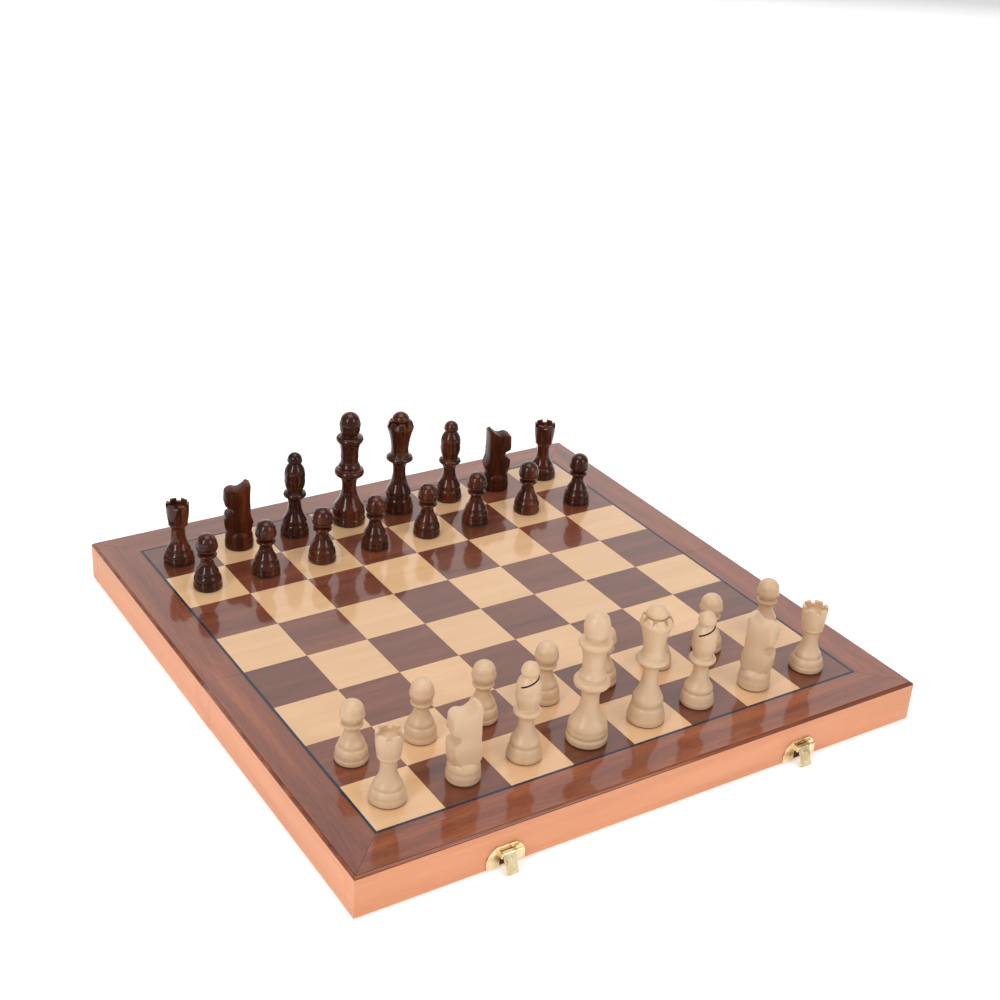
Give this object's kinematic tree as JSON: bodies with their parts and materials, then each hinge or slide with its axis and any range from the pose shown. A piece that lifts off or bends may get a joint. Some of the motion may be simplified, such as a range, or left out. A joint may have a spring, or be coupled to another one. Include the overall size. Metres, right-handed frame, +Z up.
{
  "type": "chess set with board",
  "caption": "Folding wooden chess board that is also the case of its men: two foam-lined trays on butt hinges, with swing latches, and turned men on felt.",
  "frame": {"origin": "middle of the fold line, in the plane of the case's rims, with the board unfolded flat and the playing side up", "axes": "+X along the fold, +Y from the latch edge to the far edge, +Z up out of the playing face"},
  "size_m": [0.381, 0.3927, 0.1105],
  "materials": {
    "boxwood": "satin",
    "dark_stain": "gloss",
    "frame_wood": "satin",
    "panel_wood": "satin",
    "walnut_border": "gloss",
    "light_veneer": "gloss",
    "dark_veneer": "gloss",
    "line_inlay": "gloss",
    "black_foam": "matte",
    "brass": "polished"
  },
  "bodies": {
    "near_half": {"near_long_rails": "frame_wood", "near_side_rails": "frame_wood", "near_panel": "panel_wood", "near_border_veneer": "walnut_border", "near_light_squares": "light_veneer", "near_dark_squares": "dark_veneer", "near_stringing": "line_inlay", "near_foam": "black_foam", "near_screws": "brass", "hinge_leaves_near": "brass", "hinge_pins": "brass", "latch_plates": "brass", "latch_pins": "brass"},
    "far_half": {"far_long_rails": "frame_wood", "far_side_rails": "frame_wood", "far_panel": "panel_wood", "far_border_veneer": "walnut_border", "far_light_squares": "light_veneer", "far_dark_squares": "dark_veneer", "far_stringing": "line_inlay", "far_foam": "black_foam", "far_screws": "brass", "hinge_leaves_far": "brass", "catch_plates": "brass"},
    "latch_left": {"latch_left_flap": "brass"},
    "latch_right": {"latch_right_flap": "brass"},
    "dark_spare_queen": {"dark_spare_queen": "dark_stain"},
    "white_spare_queen": {"white_spare_queen": "boxwood"},
    "white_rook_a": {"white_rook_a": "boxwood"},
    "white_knight_b": {"white_knight_b": "boxwood"},
    "white_bishop_c": {"white_bishop_c": "boxwood"},
    "white_king": {"white_king": "boxwood"},
    "white_queen": {"white_queen": "boxwood"},
    "white_bishop_f": {"white_bishop_f": "boxwood"},
    "white_knight_g": {"white_knight_g": "boxwood"},
    "white_rook_h": {"white_rook_h": "boxwood"},
    "white_pawn_a": {"white_pawn_a": "boxwood"},
    "white_pawn_b": {"white_pawn_b": "boxwood"},
    "white_pawn_c": {"white_pawn_c": "boxwood"},
    "white_pawn_d": {"white_pawn_d": "boxwood"},
    "white_pawn_e": {"white_pawn_e": "boxwood"},
    "white_pawn_f": {"white_pawn_f": "boxwood"},
    "white_pawn_g": {"white_pawn_g": "boxwood"},
    "white_pawn_h": {"white_pawn_h": "boxwood"},
    "dark_rook_a": {"dark_rook_a": "dark_stain"},
    "dark_knight_b": {"dark_knight_b": "dark_stain"},
    "dark_bishop_c": {"dark_bishop_c": "dark_stain"},
    "dark_king": {"dark_king": "dark_stain"},
    "dark_queen": {"dark_queen": "dark_stain"},
    "dark_bishop_f": {"dark_bishop_f": "dark_stain"},
    "dark_knight_g": {"dark_knight_g": "dark_stain"},
    "dark_rook_h": {"dark_rook_h": "dark_stain"},
    "dark_pawn_a": {"dark_pawn_a": "dark_stain"},
    "dark_pawn_b": {"dark_pawn_b": "dark_stain"},
    "dark_pawn_c": {"dark_pawn_c": "dark_stain"},
    "dark_pawn_d": {"dark_pawn_d": "dark_stain"},
    "dark_pawn_e": {"dark_pawn_e": "dark_stain"},
    "dark_pawn_f": {"dark_pawn_f": "dark_stain"},
    "dark_pawn_g": {"dark_pawn_g": "dark_stain"},
    "dark_pawn_h": {"dark_pawn_h": "dark_stain"}
  },
  "joints": [
    {"name": "board_fold", "type": "hinge", "parent": "near_half", "child": "far_half", "pos_m": [0, 0, -0.00005], "axis": [-1, 0, 0], "range_deg": [0, 180]},
    {"name": "latch_left_swing", "type": "hinge", "parent": "near_half", "child": "latch_left", "pos_m": [-0.1015, -0.1933, 0.0095], "axis": [-1, 0, 0], "range_deg": [-22.3, 69]},
    {"name": "latch_right_swing", "type": "hinge", "parent": "near_half", "child": "latch_right", "pos_m": [0.1015, -0.1933, 0.0095], "axis": [-1, 0, 0], "range_deg": [-22.3, 69]},
    {"name": "dark_spare_queen_out", "type": "slide", "parent": "near_half", "child": "dark_spare_queen", "axis": [0, 0, 1], "range_m": [-0.045, 0]},
    {"name": "white_spare_queen_out", "type": "slide", "parent": "far_half", "child": "white_spare_queen", "axis": [0, 0, 1], "range_m": [-0.045, 0]},
    {"name": "white_rook_a_lift", "type": "slide", "parent": "near_half", "child": "white_rook_a", "axis": [0, 0, 1], "range_m": [0, 0.09]},
    {"name": "white_knight_b_lift", "type": "slide", "parent": "near_half", "child": "white_knight_b", "axis": [0, 0, 1], "range_m": [0, 0.09]},
    {"name": "white_bishop_c_lift", "type": "slide", "parent": "near_half", "child": "white_bishop_c", "axis": [0, 0, 1], "range_m": [0, 0.09]},
    {"name": "white_king_lift", "type": "slide", "parent": "near_half", "child": "white_king", "axis": [0, 0, 1], "range_m": [0, 0.09]},
    {"name": "white_queen_lift", "type": "slide", "parent": "near_half", "child": "white_queen", "axis": [0, 0, 1], "range_m": [0, 0.09]},
    {"name": "white_bishop_f_lift", "type": "slide", "parent": "near_half", "child": "white_bishop_f", "axis": [0, 0, 1], "range_m": [0, 0.09]},
    {"name": "white_knight_g_lift", "type": "slide", "parent": "near_half", "child": "white_knight_g", "axis": [0, 0, 1], "range_m": [0, 0.09]},
    {"name": "white_rook_h_lift", "type": "slide", "parent": "near_half", "child": "white_rook_h", "axis": [0, 0, 1], "range_m": [0, 0.09]},
    {"name": "white_pawn_a_lift", "type": "slide", "parent": "near_half", "child": "white_pawn_a", "axis": [0, 0, 1], "range_m": [0, 0.09]},
    {"name": "white_pawn_b_lift", "type": "slide", "parent": "near_half", "child": "white_pawn_b", "axis": [0, 0, 1], "range_m": [0, 0.09]},
    {"name": "white_pawn_c_lift", "type": "slide", "parent": "near_half", "child": "white_pawn_c", "axis": [0, 0, 1], "range_m": [0, 0.09]},
    {"name": "white_pawn_d_lift", "type": "slide", "parent": "near_half", "child": "white_pawn_d", "axis": [0, 0, 1], "range_m": [0, 0.09]},
    {"name": "white_pawn_e_lift", "type": "slide", "parent": "near_half", "child": "white_pawn_e", "axis": [0, 0, 1], "range_m": [0, 0.09]},
    {"name": "white_pawn_f_lift", "type": "slide", "parent": "near_half", "child": "white_pawn_f", "axis": [0, 0, 1], "range_m": [0, 0.09]},
    {"name": "white_pawn_g_lift", "type": "slide", "parent": "near_half", "child": "white_pawn_g", "axis": [0, 0, 1], "range_m": [0, 0.09]},
    {"name": "white_pawn_h_lift", "type": "slide", "parent": "near_half", "child": "white_pawn_h", "axis": [0, 0, 1], "range_m": [0, 0.09]},
    {"name": "dark_rook_a_lift", "type": "slide", "parent": "far_half", "child": "dark_rook_a", "axis": [0, 0, 1], "range_m": [0, 0.09]},
    {"name": "dark_knight_b_lift", "type": "slide", "parent": "far_half", "child": "dark_knight_b", "axis": [0, 0, 1], "range_m": [0, 0.09]},
    {"name": "dark_bishop_c_lift", "type": "slide", "parent": "far_half", "child": "dark_bishop_c", "axis": [0, 0, 1], "range_m": [0, 0.09]},
    {"name": "dark_king_lift", "type": "slide", "parent": "far_half", "child": "dark_king", "axis": [0, 0, 1], "range_m": [0, 0.09]},
    {"name": "dark_queen_lift", "type": "slide", "parent": "far_half", "child": "dark_queen", "axis": [0, 0, 1], "range_m": [0, 0.09]},
    {"name": "dark_bishop_f_lift", "type": "slide", "parent": "far_half", "child": "dark_bishop_f", "axis": [0, 0, 1], "range_m": [0, 0.09]},
    {"name": "dark_knight_g_lift", "type": "slide", "parent": "far_half", "child": "dark_knight_g", "axis": [0, 0, 1], "range_m": [0, 0.09]},
    {"name": "dark_rook_h_lift", "type": "slide", "parent": "far_half", "child": "dark_rook_h", "axis": [0, 0, 1], "range_m": [0, 0.09]},
    {"name": "dark_pawn_a_lift", "type": "slide", "parent": "far_half", "child": "dark_pawn_a", "axis": [0, 0, 1], "range_m": [0, 0.09]},
    {"name": "dark_pawn_b_lift", "type": "slide", "parent": "far_half", "child": "dark_pawn_b", "axis": [0, 0, 1], "range_m": [0, 0.09]},
    {"name": "dark_pawn_c_lift", "type": "slide", "parent": "far_half", "child": "dark_pawn_c", "axis": [0, 0, 1], "range_m": [0, 0.09]},
    {"name": "dark_pawn_d_lift", "type": "slide", "parent": "far_half", "child": "dark_pawn_d", "axis": [0, 0, 1], "range_m": [0, 0.09]},
    {"name": "dark_pawn_e_lift", "type": "slide", "parent": "far_half", "child": "dark_pawn_e", "axis": [0, 0, 1], "range_m": [0, 0.09]},
    {"name": "dark_pawn_f_lift", "type": "slide", "parent": "far_half", "child": "dark_pawn_f", "axis": [0, 0, 1], "range_m": [0, 0.09]},
    {"name": "dark_pawn_g_lift", "type": "slide", "parent": "far_half", "child": "dark_pawn_g", "axis": [0, 0, 1], "range_m": [0, 0.09]},
    {"name": "dark_pawn_h_lift", "type": "slide", "parent": "far_half", "child": "dark_pawn_h", "axis": [0, 0, 1], "range_m": [0, 0.09]}
  ]
}
